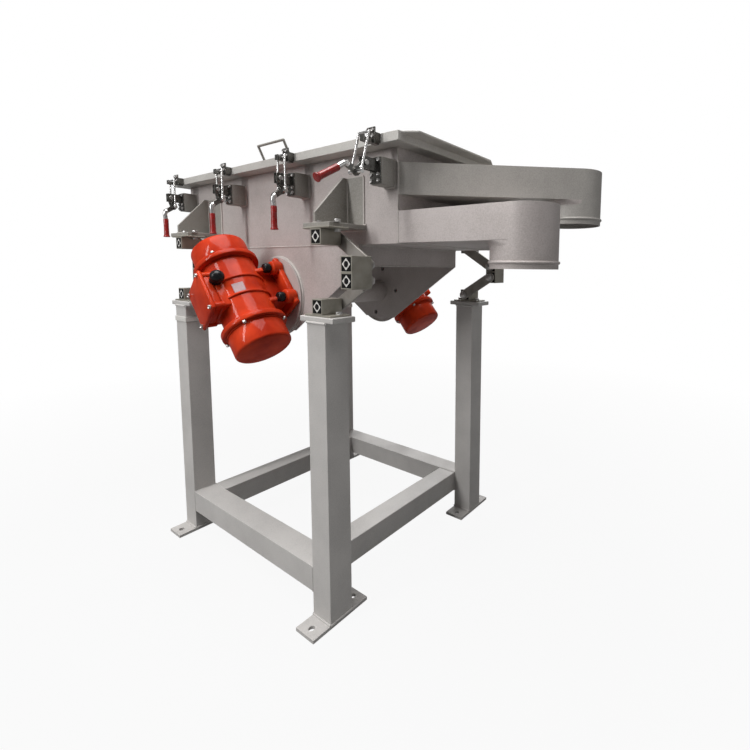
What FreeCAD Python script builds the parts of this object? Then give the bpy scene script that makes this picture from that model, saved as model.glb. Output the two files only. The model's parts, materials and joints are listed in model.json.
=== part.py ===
import FreeCAD, Part
import os
import Sketcher

# Linear vibrating screen on a leg stand. Millimetres, +Z up, +X towards the discharge spouts,
# -Y is the near long side. Origin on the floor at the centre of the four legs.

doc = FreeCAD.newDocument("VibratingScreen")
sheet = doc.addObject("Spreadsheet::Sheet", "Dims")

sizes = {
    # stand
    "tube": 60, "tubeWall": 3, "legHalfX": 308, "legHalfY": 272, "legTop": 674,
    "footThick": 8, "footLength": 150, "footHole": 7, "footHoleReach": 57,
    "capThick": 12, "capLength": 108, "beamBottom": 62, "collarBottom": 628, "collarHeight": 14,
    # rubber mounts
    "housing": 33, "housingWall": 3, "housingLength": 52, "middleShift": 92, "middleBottom": 746,
    "coreSide": 17, "coreBore": 5, "armThick": 6, "armWidth": 28, "armGap": 2,
    "mountFlange": 4, "mountFlangeLength": 84,
    # brackets between the mounts and the box
    "bracketPlate": 10, "bracketReach": 285, "bracketRight": 28, "bracketLeftFront": 59,
    "bracketLeftRear": 80, "gussetInset": 25, "padInset": 6, "gussetThick": 6, "gussetToe": 24,
    "gussetTop": 988,
    # screening box
    "boxRear": -480, "boxFront": 430, "boxHalf": 185, "sheetSteel": 4, "boxBottom": 840,
    "wallTop": 1038, "rimOverhang": 31, "rimThick": 4, "gasketThick": 2, "gasketInset": 4,
    "windowInset": 10, "deckRise": 84, "deckThick": 2, "deckRail": 16, "meshHole": 12,
    # webs and motor discs below the box
    "webHalf": 315, "stiffener": 48, "webToe": 64, "webDrop": 88.5,
    "discHeight": 710, "discRadius": 103, "discThick": 8, "boltAlong": 46, "boltAcross": 60,
    "boltHole": 7,
    "crossTube": 34, "crossTubeWall": 4,
    # lid
    "lidOverhang": 36, "lidSkirt": 4, "lidHeight": 13, "lidSheet": 3, "lidBorder": 30,
    "lipLength": 31, "lipNear": 195, "lipFar": 77, "lipSlant": 73, "lipThick": 4,
    "inletX": -200, "inletRadius": 100, "inletWall": 3, "inletHeight": 26,
    "handleX": 54, "handleHalf": 53.5, "handleRod": 3, "handleRise": 32, "handleLean": 26,
    "handleInset": 4,
    # spouts
    "outletX": 692, "outletRadius": 65, "spoutWall": 3, "ductHeight": 66, "neckHeight": 52,
    "ductGap": 2, "beadRadius": 3, "beadHeight": 12,
    # motors
    "motorReach": 291, "motorTilt": 50, "motorRadius": 62, "motorLength": 310,
    "motorFlange": 75, "motorFlangeWidth": 14, "motorRib": 66, "ribSpacing": 48, "ribWidth": 5,
    "motorCap": 65, "motorCapLength": 55, "capWall": 4,
    "footHalf": 72, "footPad": 14, "footLug": 28, "lugRadius": 18, "footWeb": 12,
    "terminalTurn": 81, "terminalReach": 93, "terminalLong": 112, "terminalWide": 85,
    "terminalShift": 4, "terminalCover": 8, "terminalLip": 6,
    # latches
    "latchFront": 21, "latchRear": 31, "standoffReach": 40, "standoffHalf": 15,
    "standoffBottom": 957, "standoffTop": 1012, "latchFlange": 3, "cheekGap": 3.5,
    "cheekThick": 2.5, "cheekReach": 41, "cheekHalf": 12, "pivotReach": 33, "pivotHeight": 993.7,
    "pinRadius": 3.7, "pinClear": 0.3, "linkReach": 8, "linkDrop": 27.7, "leverHalf": 3,
    "leverBoss": 8, "elbowReach": 16, "elbowDrop": 44, "kneeReach": 14, "kneeDrop": 62,
    "gripLength": 56, "gripRadius": 7, "bowHalf": 14, "bowRod": 2.5, "bowLength": 81,
    "catchHalf": 6, "catchTop": 1042.5, "catchThick": 8, "catchLip": 4, "catchReach": 37.5,
    "catchBlock": 15, "catchPlate": 3, "catchRise": 9, "openAngle": 60, "bowShare": 0.25,
}
for row, (alias, size) in enumerate(sizes.items(), start=1):
    sheet.set(f"A{row}", str(size))
    sheet.setAlias(f"A{row}", alias)
doc.recompute()

TURNS = {
    "x": FreeCAD.Rotation(FreeCAD.Vector(0, 1, 0), 90),
    "y": FreeCAD.Rotation(FreeCAD.Vector(1, 0, 0), -90),
    "z": FreeCAD.Rotation(),
}
PLANES = {
    "xy": FreeCAD.Rotation(),
    "xz": FreeCAD.Rotation(FreeCAD.Vector(1, 0, 0), 90),
    "yz": FreeCAD.Rotation(FreeCAD.Vector(1, 1, 1), 120),
}
PLANE_NORMAL = {"xy": "z", "xz": "y", "yz": "x"}
nodes = []


def bound(expression):
    """Writes D.name as a reference into the table of sizes."""
    return str(expression).replace("D.", "Dims.")


def number(expression):
    result = sheet.evalExpression(bound(expression))
    return float(getattr(result, "Value", result))


def place(piece, x, y, z):
    for axis, value in zip("xyz", (x, y, z)):
        piece.setExpression(f"Placement.Base.{axis}", bound(value))


def span(side, low, high):
    """The stretch low..high, mirrored when side is negative."""
    if side > 0:
        return f"({low})", f"({high})"
    return f"-({high})", f"-({low})"


def about(middle, half):
    return f"({middle}) - ({half})", f"({middle}) + ({half})"


def box(x, y, z):
    piece = doc.addObject("Part::Box", "Box")
    for size, (low, high) in zip(("Length", "Width", "Height"), (x, y, z)):
        piece.setExpression(size, bound(f"({high}) - ({low})"))
    place(piece, x[0], y[0], z[0])
    return piece


def rod(axis, start, length, radius):
    piece = doc.addObject("Part::Cylinder", "Rod")
    piece.setExpression("Radius", bound(radius))
    piece.setExpression("Height", bound(length))
    piece.Placement = FreeCAD.Placement(FreeCAD.Vector(), TURNS[axis])
    place(piece, *start)
    return piece


def ring(centre, radius, thickness):
    piece = doc.addObject("Part::Torus", "Ring")
    piece.setExpression("Radius1", bound(radius))
    piece.setExpression("Radius2", bound(thickness))
    place(piece, *centre)
    return piece


def ball(centre, radius):
    piece = doc.addObject("Part::Sphere", "Ball")
    piece.setExpression("Radius", bound(radius))
    place(piece, *centre)
    return piece


def prism(plane, corners, start, length):
    """A closed outline of corners, pushed out along the plane's normal by length."""
    sketch = doc.addObject("Sketcher::SketchObject", "Outline")
    sketch.Placement = FreeCAD.Placement(FreeCAD.Vector(), PLANES[plane])
    sketch.setExpression(f"Placement.Base.{PLANE_NORMAL[plane]}", bound(start))
    points = [FreeCAD.Vector(number(a), number(b), 0) for a, b in corners]
    count = len(points)
    for index in range(count):
        sketch.addGeometry(Part.LineSegment(points[index], points[(index + 1) % count]))
    for index in range(count):
        after = (index + 1) % count
        sketch.addConstraint(Sketcher.Constraint("Coincident", index, 2, after, 1))
    for index, (a, b) in enumerate(corners):
        for kind, value in (("DistanceX", a), ("DistanceY", b)):
            number_of = sketch.addConstraint(Sketcher.Constraint(kind, index, 1, number(value)))
            sketch.setExpression(f"Constraints[{number_of}]", bound(value))
    piece = doc.addObject("Part::Extrusion", "Prism")
    piece.Base = sketch
    piece.DirMode = "Normal"
    piece.Solid = True
    piece.setExpression("LengthFwd", bound(length))
    return piece


def fuse(*pieces):
    if len(pieces) == 1:
        return pieces[0]
    joined = doc.addObject("Part::MultiFuse", "Joined")
    joined.Shapes = list(pieces)
    return joined


def cut(base, *tools):
    piece = doc.addObject("Part::Cut", "Cut")
    piece.Base = base
    piece.Tool = fuse(*tools)
    return piece


def node(name, *pieces):
    """One named sub-part: a single solid, or like solids that stay apart."""
    if len(pieces) == 1:
        part = pieces[0]
    else:
        part = doc.addObject("Part::Compound", name)
        part.Links = list(pieces)
    part.Label = name
    nodes.append(part)
    return part


def tube_box(x, y, z, wall, along):
    """A hollow bar: the box x, y, z with its bore running along one axis."""
    inner = []
    for axis, (low, high) in zip("xyz", (x, y, z)):
        if axis == along:
            inner.append((low, high))
        else:
            inner.append((f"({low}) + {wall}", f"({high}) - {wall}"))
    return cut(box(x, y, z), box(*inner))


corners = [(end, side) for end in (1, -1) for side in (-1, 1)]
corner_names = {(1, -1): "front_near", (1, 1): "front_far",
                (-1, -1): "rear_near", (-1, 1): "rear_far"}


# Stand

def stand():
    half = "D.tube / 2"
    feet, caps, collars = [], [], []
    for end, side in corners:
        x = f"{end} * D.legHalfX"
        y = f"{side} * D.legHalfY"
        leg = tube_box(about(x, half), about(y, half), ("D.footThick", "D.legTop"), "D.tubeWall", "z")
        node("leg_" + corner_names[end, side], leg)
        plate = box(about(x, half), about(y, "D.footLength / 2"), ("0", "D.footThick"))
        holes = [rod("z", (x, f"{y} + {way} * D.footHoleReach", "-1"), "D.footThick + 2", "D.footHole")
                 for way in (-1, 1)]
        feet.append(cut(plate, *holes))
        caps.append(box(about(x, "D.capLength / 2"), about(y, half),
                        ("D.legTop", "D.legTop + D.capThick")))
        if end < 0:
            sleeve = tube_box(about(x, f"{half} + 2"), about(y, f"{half} + 2"),
                              ("D.collarBottom", "D.collarBottom + D.collarHeight"), "2", "z")
            collars.append(sleeve)
    node("foot_plates", *feet)
    node("cap_plates", *caps)
    node("leg_collars", *collars)
    height = ("D.beamBottom", "D.beamBottom + D.tube")
    between_x = (f"-D.legHalfX + {half}", f"D.legHalfX - {half}")
    between_y = (f"-D.legHalfY + {half}", f"D.legHalfY - {half}")
    node("side_beams", *[tube_box(between_x, about(f"{side} * D.legHalfY", half), height,
                                  "D.tubeWall", "x") for side in (-1, 1)])
    node("cross_beams", *[tube_box(about(f"{end} * (D.legHalfX - D.tube)", half), between_y, height,
                                   "D.tubeWall", "y") for end in (1, -1)])


# Oscillating rubber mounts

CAP_TOP = "(D.legTop + D.capThick)"
LOW = f"({CAP_TOP} + D.mountFlange + D.housing / 2)"
MIDDLE_LOW = "(D.middleBottom + D.housing / 2)"
MIDDLE_HIGH = "(D.middleBottom + 1.5 * D.housing)"
HIGH = f"(2 * D.middleBottom + 2 * D.housing - {LOW})"
MOUNT_TOP = f"({HIGH} + D.housing / 2)"


def bar_between(a, b, width, plane, start, length):
    """A flat bar with rounded ends between two points of a plane."""
    along_a = f"({b[0]}) - ({a[0]})"
    along_b = f"({b[1]}) - ({a[1]})"
    reach = f"hypot({along_a}; {along_b})"
    off_a = f"({width}) / 2 * ({along_b}) / {reach}"
    off_b = f"({width}) / 2 * ({along_a}) / {reach}"
    outline = [(f"({a[0]}) + {off_a}", f"({a[1]}) - {off_b}"),
               (f"({b[0]}) + {off_a}", f"({b[1]}) - {off_b}"),
               (f"({b[0]}) - {off_a}", f"({b[1]}) + {off_b}"),
               (f"({a[0]}) - {off_a}", f"({a[1]}) + {off_b}")]
    bar = prism(plane, outline, start, length)
    ends = []
    for point in (a, b):
        if plane == "xz":
            ends.append(rod("y", (point[0], f"({start}) - ({length})", point[1]), length,
                            f"({width}) / 2"))
        else:
            ends.append(rod("x", (start, point[0], point[1]), length, f"({width}) / 2"))
    return fuse(bar, *ends)


def diamond(x, z, side, y, length):
    """A square bar standing on its edge, running along Y."""
    half = f"({side}) / sqrt(2)"
    outline = [(f"({x}) - {half}", z), (x, f"({z}) - {half}"),
               (f"({x}) + {half}", z), (x, f"({z}) + {half}")]
    return prism("xz", outline, y, length)


def rubber_mounts():
    half = "D.housing / 2"
    housings, arms, rubbers, cores, flanges = [], [], [], [], []
    for end, side in corners:
        x = f"({end} * D.legHalfX)"
        shifted = f"({x} + D.middleShift)"
        width = about(f"{side} * D.legHalfY", "D.housingLength / 2")
        for low, high, where, bores in (
                (f"{LOW} - {half}", f"{LOW} + {half}", x, (LOW,)),
                ("D.middleBottom", "D.middleBottom + 2 * D.housing", shifted, (MIDDLE_LOW, MIDDLE_HIGH)),
                (f"{HIGH} - {half}", f"{HIGH} + {half}", x, (HIGH,))):
            inner = f"{half} - D.housingWall"
            hollows = [box(about(where, inner), width, about(z, inner)) for z in bores]
            housings.append(cut(box(about(where, half), width, (low, high)), *hollows))
            for z in bores:
                filling = box(about(where, inner), width, about(z, inner))
                core_hole = diamond(where, z, "D.coreSide", width[1], "D.housingLength")
                rubbers.append(cut(filling, core_hole))
                inboard = "D.armGap" if side < 0 else "0"
                outboard_end = f"({width[1]}) + {inboard}"
                core = diamond(where, z, "D.coreSide", outboard_end, "D.housingLength + D.armGap")
                bore = rod("y", (where, f"({width[0]}) - D.armGap - 1", z),
                           "D.housingLength + 2 * D.armGap + 2", "D.coreBore")
                cores.append(cut(core, bore))
        inner_face = "D.legHalfY - D.housingLength / 2 - D.armGap"
        arm_span = span(side, f"{inner_face} - D.armThick", inner_face)
        for a, b in (((x, HIGH), (shifted, MIDDLE_HIGH)), ((shifted, MIDDLE_LOW), (x, LOW))):
            arms.append(bar_between(a, b, "D.armWidth", "xz", arm_span[1], "D.armThick"))
        for level in (CAP_TOP, MOUNT_TOP):
            flanges.append(box(about(x, "D.mountFlangeLength / 2"), width,
                               (level, f"{level} + D.mountFlange")))
    node("mount_housings", *housings)
    node("mount_arms", *arms)
    node("mount_rubbers", *rubbers)
    node("mount_cores", *cores)
    node("mount_flanges", *flanges)


def mount_brackets():
    bottom = f"{MOUNT_TOP} + D.mountFlange"
    brackets = []
    for end, side in corners:
        x = f"({end} * D.legHalfX)"
        reach = "D.bracketLeftFront" if end > 0 else "D.bracketLeftRear"
        left = f"{x} - {reach}"
        gusset_x = f"{left} + D.gussetInset"
        right = f"{x} + D.bracketRight"
        plate = box((left, right), span(side, "D.boxHalf", "D.bracketReach"),
                    (bottom, f"{bottom} + D.bracketPlate"))
        pad = box((gusset_x, f"{right} - D.padInset"), span(side, "D.boxHalf", "D.boxHalf + 4"),
                  (bottom, "D.gussetTop"))
        foot = f"{bottom} + D.bracketPlate - 1"
        wall = f"{side} * (D.boxHalf + 3)"
        toe = f"{side} * (D.bracketReach - 8)"
        outline = [(wall, foot), (toe, foot), (toe, f"{foot} + D.gussetToe"),
                   (f"{side} * (D.boxHalf + 16)", "D.gussetTop"), (wall, "D.gussetTop")]
        gusset = prism("yz", outline, gusset_x, "D.gussetThick")
        brackets.append(fuse(plate, pad, gusset))
    node("mount_brackets", *brackets)


# Screening box

DECK = "(D.boxBottom + D.deckRise)"
DECK_TOP = f"({DECK} + D.deckRail + D.deckThick)"
LOWER_DUCT = "(D.boxBottom + D.ductGap)"
SHOULDER = "(D.boxBottom - D.stiffener)"


def screening_box():
    inner = "D.boxHalf - D.sheetSteel"
    length = ("D.boxRear", "D.boxFront")
    height = ("D.boxBottom", "D.wallTop")
    node("side_walls", *[box(length, span(side, inner, "D.boxHalf"), height) for side in (-1, 1)])
    across = (f"-({inner})", inner)
    node("feed_end_wall", box(("D.boxRear", "D.boxRear + D.sheetSteel"), across, height))
    front = ("D.boxFront - D.sheetSteel", "D.boxFront")
    windows = []
    for duct in (LOWER_DUCT, DECK_TOP):
        windows.append(box((f"{front[0]} - 1", f"{front[1]} + 1"),
                           (f"-({inner}) + D.windowInset", f"{inner} - D.windowInset"),
                           (f"{duct} + D.spoutWall", f"{duct} + D.ductHeight - D.spoutWall")))
    node("discharge_end_wall", cut(box(front, across, height), *windows))
    inside_x = ("D.boxRear + D.sheetSteel", "D.boxFront - D.sheetSteel")
    node("bottom_pan", box(inside_x, across, ("D.boxBottom", "D.boxBottom + D.sheetSteel")))
    deck_top = f"{DECK} + D.deckRail"
    rails = [box(inside_x, span(side, f"{inner} - D.deckRail", inner), (DECK, deck_top))
             for side in (-1, 1)]
    mesh = box(inside_x, across, (deck_top, f"{deck_top} + D.deckThick"))
    holes = []
    for row in range(3):
        for column in range(4):
            x = f"D.boxRear + (D.boxFront - D.boxRear) * {(column + 1) / 5}"
            y = f"{row - 1} * D.boxHalf / 2"
            holes.append(rod("z", (x, y, f"{deck_top} - 1"), "D.deckThick + 2", "D.meshHole"))
    node("deck_rails", *rails)
    node("deck_screen", cut(mesh, *holes))
    rim_x = ("D.boxRear - D.rimOverhang", "D.boxFront + D.rimOverhang")
    rim_y = ("-D.boxHalf - D.rimOverhang", "D.boxHalf + D.rimOverhang")
    opening = (inside_x, across)
    rim = ("D.wallTop", "D.wallTop + D.rimThick")
    node("rim_flange", cut(box(rim_x, rim_y, rim), box(*opening, (f"{rim[0]} - 1", f"{rim[1]} + 1"))))
    seal = (rim[1], f"{rim[1]} + D.gasketThick")
    seal_x = (f"{rim_x[0]} + D.gasketInset", f"{rim_x[1]} - D.gasketInset")
    seal_y = (f"{rim_y[0]} + D.gasketInset", f"{rim_y[1]} - D.gasketInset")
    node("lid_gasket", cut(box(seal_x, seal_y, seal), box(*opening, (f"{seal[0]} - 1", f"{seal[1]} + 1"))))


def lower_frame():
    inner = "D.boxHalf - D.sheetSteel"
    low = "D.discHeight - D.webDrop"
    outline = [("D.webHalf", "D.boxBottom"), ("D.webHalf", SHOULDER), ("D.webToe", low),
               ("-D.webToe", low), ("-D.webHalf", SHOULDER), ("-D.webHalf", "D.boxBottom")]
    node("side_webs", *[cut(prism("xz", outline, span(side, inner, "D.boxHalf")[1], "D.sheetSteel"),
                            *foot_holes(side)) for side in (-1, 1)])
    across = (f"-({inner})", inner)
    height = (SHOULDER, "D.boxBottom")
    node("cross_stiffeners", *[box(span(end, "D.webHalf - D.sheetSteel", "D.webHalf"), across, height)
                               for end in (1, -1)])
    tube = rod("y", ("0", f"-({inner})", "D.discHeight"), f"2 * ({inner})", "D.crossTube")
    bore = rod("y", ("0", f"-({inner})", "D.discHeight"), f"2 * ({inner})", "D.crossTube - D.crossTubeWall")
    node("motor_cross_tube", cut(tube, bore))
    discs = []
    for side in (-1, 1):
        face = span(side, "D.boxHalf", "D.boxHalf + D.discThick")
        disc = rod("y", ("0", face[0], "D.discHeight"), "D.discThick", "D.discRadius")
        discs.append(cut(disc, *foot_holes(side)))
    node("motor_discs", *discs)


def foot_holes(side):
    """The four motor bolts' holes, through web and disc, in a rectangle tilted with the motor."""
    holes = []
    start = span(side, "D.boxHalf - D.sheetSteel - 1", "D.boxHalf + D.discThick + 1")[0]
    for along, across in corners:
        x = f"{along} * D.boltAlong * cos(D.motorTilt) + {across} * D.boltAcross * sin(D.motorTilt)"
        z = f"{across} * D.boltAcross * cos(D.motorTilt) - {along} * D.boltAlong * sin(D.motorTilt)"
        holes.append(rod("y", (x, start, f"D.discHeight + {z}"), "D.discThick + D.sheetSteel + 2",
                         "D.boltHole"))
    return holes


# Lid

LID_BOTTOM = "(D.wallTop + D.rimThick + D.gasketThick)"
LID_TOP = f"({LID_BOTTOM} + D.lidHeight)"
LID_EDGE = "(D.boxHalf + D.lidOverhang)"


def lid():
    x = ("D.boxRear - D.lidOverhang", "D.boxFront + D.lidOverhang")
    y = (f"-{LID_EDGE}", LID_EDGE)
    tray = box(x, y, ("D.wallTop", LID_TOP))
    seat = box((f"{x[0]} + D.lidSkirt", f"{x[1]} - D.lidSkirt"),
               (f"{y[0]} + D.lidSkirt", f"{y[1]} - D.lidSkirt"), ("D.wallTop - 1", LID_BOTTOM))
    hollow = box((f"{x[0]} + D.lidBorder", f"{x[1]} - D.lidBorder"),
                 (f"{y[0]} + D.lidBorder", f"{y[1]} - D.lidBorder"),
                 (f"{LID_BOTTOM} - 1", f"{LID_TOP} - D.lidSheet"))
    root, tip = f"{x[1]} - D.lidSkirt", f"{x[1]} + D.lipLength"
    lip = prism("xy", [(root, f"{y[0]} + D.lidSkirt"), (tip, "-D.lipNear"), (tip, "D.lipFar"),
                       (root, "D.lipFar + D.lipSlant")], f"{LID_TOP} - D.lipThick", "D.lipThick")
    inlet = rod("z", ("D.inletX", "0", f"{LID_BOTTOM} - 2"), "D.lidHeight + 4", "D.inletRadius - D.inletWall")
    node("lid_panel", cut(fuse(tray, lip), seat, hollow, inlet))
    collar = rod("z", ("D.inletX", "0", LID_TOP), "D.inletHeight", "D.inletRadius")
    bead_z = f"{LID_TOP} + D.inletHeight - D.beadRadius"
    bead = ring(("D.inletX", "0", bead_z), "D.inletRadius", "D.beadRadius")
    throat = rod("z", ("D.inletX", "0", f"{LID_TOP} - 1"), "D.inletHeight + 2", "D.inletRadius - D.inletWall")
    node("inlet_collar", cut(fuse(collar, bead), throat))
    node("lid_handles", *[handle(side) for side in (-1, 1)])


def handle(side):
    """A bent rod: two posts that lean outboard and a bar between their upper ends."""
    low = f"({LID_EDGE} - D.handleInset)"
    high = f"({low} + D.handleRise * tan(D.handleLean))"
    top = f"({LID_TOP} + D.handleRise)"
    pieces = []
    for way in (-1, 1):
        x = f"D.handleX + {way} * D.handleHalf"
        post = doc.addObject("Part::Cylinder", "Post")
        post.setExpression("Radius", bound("D.handleRod"))
        post.setExpression("Height", bound("D.handleRise / cos(D.handleLean)"))
        post.Placement = FreeCAD.Placement(FreeCAD.Vector(), FreeCAD.Rotation(FreeCAD.Vector(-side, 0, 0), 20))
        post.setExpression("Placement.Rotation.Angle", bound("D.handleLean"))
        place(post, x, f"{side} * {low}", LID_TOP)
        pieces += [post, ball((x, f"{side} * {high}", top), "D.handleRod")]
    bar = rod("x", ("D.handleX - D.handleHalf", f"{side} * {high}", top), "2 * D.handleHalf", "D.handleRod")
    below = box(about("D.handleX", "D.handleHalf + 20"), span(side, f"{low} - 20", f"{low} + 20"),
                (f"{LID_TOP} - 10", LID_TOP))
    return cut(fuse(bar, *pieces), below)


# Spouts

def spout(name, side, floor):
    """A duct that tapers from the box's full width to a round outlet at the given side."""
    centre = f"({side} * (D.boxHalf - D.outletRadius))"
    run = "(D.outletX - D.boxFront)"
    rise = "(2 * D.boxHalf - D.outletRadius)"
    slope = f"(atan({rise} / {run}) - asin(D.outletRadius / hypot({run}; {rise})))"

    def duct(shrink, z, height):
        radius = f"(D.outletRadius - {shrink})"
        tangent_x = f"D.outletX + {radius} * sin({slope})"
        tangent_y = f"{centre} - {side} * {radius} * cos({slope})"
        outline = [("D.boxFront", f"-{side} * (D.boxHalf - ({shrink}) / cos({slope}))"),
                   (tangent_x, tangent_y), ("D.outletX", centre),
                   ("D.outletX", f"{side} * (D.boxHalf - ({shrink}))"),
                   ("D.boxFront", f"{side} * (D.boxHalf - ({shrink}))")]
        return fuse(prism("xy", outline, z, height), rod("z", ("D.outletX", centre, z), height, radius))

    outer = duct("0", floor, "D.ductHeight")
    neck = rod("z", ("D.outletX", centre, f"{floor} - D.neckHeight"), "D.neckHeight + 1", "D.outletRadius")
    bead_z = f"{floor} - D.neckHeight + D.beadHeight"
    bead = ring(("D.outletX", centre, bead_z), "D.outletRadius", "D.beadRadius")
    inner = duct("D.spoutWall", f"{floor} + D.spoutWall", "D.ductHeight - 2 * D.spoutWall")
    bore = rod("z", ("D.outletX", centre, f"{floor} - D.neckHeight - 1"), "D.neckHeight + D.spoutWall + 2",
               "D.outletRadius - D.spoutWall")
    node(name, cut(fuse(outer, neck, bead), inner, bore))


# Motors, each built along its own X axis and then tilted nose down

def set_motor(part, side):
    part.Placement = FreeCAD.Placement(FreeCAD.Vector(), FreeCAD.Rotation(FreeCAD.Vector(0, 1, 0), 50))
    part.setExpression("Placement.Rotation.Angle", bound("D.motorTilt"))
    place(part, "0", f"{side} * D.motorReach", "D.discHeight")
    return part


CASE_LONG = "(D.terminalLong / 2 - D.terminalLip)"
CASE_WIDE = "(D.terminalWide / 2 - D.terminalLip)"


def to_terminal(part, side):
    """Turns a piece built along +Y to the side of the motor that the terminal box is on."""
    turned = doc.addObject("Part::Compound", "Turned")
    turned.Links = [part]
    angle = 180 + 81 if side < 0 else -81
    turned.Placement = FreeCAD.Placement(FreeCAD.Vector(), FreeCAD.Rotation(FreeCAD.Vector(1, 0, 0), angle))
    turn = "180 + D.terminalTurn" if side < 0 else "-D.terminalTurn"
    turned.setExpression("Placement.Rotation.Angle", bound(turn))
    return turned


def motor_body(side):
    half = "(D.motorLength / 2 - D.motorCapLength)"
    to_disc = "(D.motorReach - D.boxHalf - D.discThick)"
    pieces = [rod("x", (f"-{half}", "0", "0"), f"2 * {half}", "D.motorRadius")]
    for end in (-1, 1):
        flange = span(end, f"{half} - D.motorFlangeWidth", half)[0]
        pieces.append(rod("x", (flange, "0", "0"), "D.motorFlangeWidth", "D.motorFlange"))
        pieces.append(rod("x", (f"{end} * D.ribSpacing / 2 - D.ribWidth / 2", "0", "0"), "D.ribWidth",
                          "D.motorRib"))
        low, high = span(-side, "D.motorRadius / 2", f"{to_disc} - D.footPad / 2")
        foot, body = (high, low) if side < 0 else (low, high)
        web = [(foot, "-D.footHalf + 4"), (foot, "D.footHalf - 4"),
               (body, "D.motorRadius * 0.8"), (body, "-D.motorRadius * 0.8")]
        pieces.append(prism("yz", web, f"{end} * D.boltAlong - D.footWeb / 2", "D.footWeb"))
        for across in (-1, 1):
            lug_start = span(-side, f"{to_disc} - D.footLug", to_disc)[0]
            pieces.append(rod("y", (f"{end} * D.boltAlong", lug_start, f"{across} * D.boltAcross"),
                              "D.footLug", "D.lugRadius"))
    pieces.append(box(about("0", "D.footHalf"), span(-side, f"{to_disc} - D.footPad", to_disc),
                      about("0", "D.footHalf")))
    pieces.append(box(about("0", "D.boltAlong"), span(-side, "20", f"{to_disc} - D.footPad / 2"),
                      about("0", "D.motorRadius * 0.6")))
    saddle = box(about("D.terminalShift", CASE_LONG), ("D.motorRadius / 2", "D.motorRib"), about("0", CASE_WIDE))
    pieces.append(to_terminal(saddle, side))
    return set_motor(fuse(*pieces), side)


def motor_cap(side, end):
    middle = "(D.motorLength / 2 - D.motorCapLength)"
    low, high = span(end, middle, "D.motorLength / 2")
    drum = rod("x", (low, "0", "0"), "D.motorCapLength", "D.motorCap")
    inside = span(end, middle, "D.motorLength / 2 - D.capWall")[0]
    hollow = rod("x", (inside, "0", "0"), "D.motorCapLength - D.capWall", "D.motorCap - D.capWall")
    return set_motor(cut(drum, hollow), side)


def terminal_box(side):
    joint = "D.terminalReach - D.terminalCover"
    case = box(about("D.terminalShift", CASE_LONG), ("D.motorRib", joint), about("0", CASE_WIDE))
    cover = box(about("D.terminalShift", "D.terminalLong / 2"), (joint, "D.terminalReach"),
                about("0", "D.terminalWide / 2"))
    return set_motor(fuse(to_terminal(case, side), to_terminal(cover, side)), side)


def motors():
    for side, name in ((-1, "near"), (1, "far")):
        node(f"motor_{name}", motor_body(side))
    node("motor_caps", *[motor_cap(side, end) for side in (-1, 1) for end in (-1, 1)])
    node("terminal_boxes", *[terminal_box(side) for side in (-1, 1)])


# Latches

FACE = "(D.boxHalf + D.standoffReach)"


def latch_x(index):
    """The latches share the box's length evenly between an inset at each end."""
    pitch = "((D.boxFront - D.latchFront - D.boxRear - D.latchRear) / 3)"
    return f"(D.boxFront - D.latchFront - {index} * {pitch})"


def out(side, low, high):
    """A stretch measured outwards from the stand-off's face."""
    return span(side, f"{FACE} + ({low})", f"{FACE} + ({high})")


def latch_base(side, x):
    flange = box(about(x, "D.standoffHalf"), out(side, "0", "D.latchFlange"),
                 ("D.standoffBottom + 2", "D.standoffTop - 2"))
    cheeks = []
    for way in (-1, 1):
        inner, outer = span(way, "D.cheekGap", "D.cheekGap + D.cheekThick")
        cheeks.append(box((f"{x} + {inner}", f"{x} + {outer}"), out(side, "D.latchFlange - 1", "D.cheekReach"),
                          about("D.pivotHeight", "D.cheekHalf")))
    y = f"{side} * ({FACE} + D.pivotReach)"
    pin = rod("x", (f"{x} - D.cheekGap - D.cheekThick - 2", y, "D.pivotHeight"),
              "2 * (D.cheekGap + D.cheekThick + 2)", "D.pinRadius")
    return fuse(flange, pin, *cheeks)


def lever_shape(side):
    """The lever with its grip, around its pivot as the origin, grip hanging down."""
    thick = "2 * D.leverHalf"
    pivot = ("0", "0")
    link = (f"-{side} * D.linkReach", "-D.linkDrop")
    elbow = (f"{side} * D.elbowReach", "-D.elbowDrop")
    knee = (f"{side} * D.kneeReach", "-D.kneeDrop")
    plate = bar_between(pivot, link, "2 * D.leverBoss", "yz", "-D.leverHalf", thick)
    arm = bar_between(link, elbow, "1.5 * D.leverBoss", "yz", "-D.leverHalf", thick)
    neck = bar_between(elbow, knee, "1.5 * D.leverBoss", "yz", "-D.leverHalf", thick)
    grip_top = "-D.kneeDrop - 2"
    grip = rod("z", ("0", knee[0], f"{grip_top} - D.gripLength"), "D.gripLength", "D.gripRadius")
    flare = rod("z", ("0", knee[0], f"{grip_top} - D.gripLength"), "3", "D.gripRadius + 2")
    holes = [rod("x", ("-D.leverHalf - 1", point[0], point[1]), f"{thick} + 2", "D.pinRadius + D.pinClear")
             for point in (pivot, link)]
    return cut(fuse(plate, arm, neck, grip, flare), *holes)


def set_lever(part, side, x, angle):
    part.Placement = FreeCAD.Placement(FreeCAD.Vector(), FreeCAD.Rotation(FreeCAD.Vector(side, 0, 0), 60))
    part.setExpression("Placement.Rotation.Angle", bound(angle))
    place(part, x, f"{side} * ({FACE} + D.pivotReach)", "D.pivotHeight")
    return part


def bow_shape():
    """The hook bow, upright on its pin as the origin."""
    pin = rod("x", ("-D.bowHalf - D.bowRod - 1", "0", "0"), "2 * (D.bowHalf + D.bowRod + 1)", "D.pinRadius")
    top = rod("x", ("-D.bowHalf", "0", "D.bowLength"), "2 * D.bowHalf", "D.bowRod")
    sides = []
    for way in (-1, 1):
        sides.append(rod("z", (f"{way} * D.bowHalf", "0", "0"), "D.bowLength", "D.bowRod"))
        sides.append(ball((f"{way} * D.bowHalf", "0", "D.bowLength"), "D.bowRod"))
    return fuse(pin, top, *sides)


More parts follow.
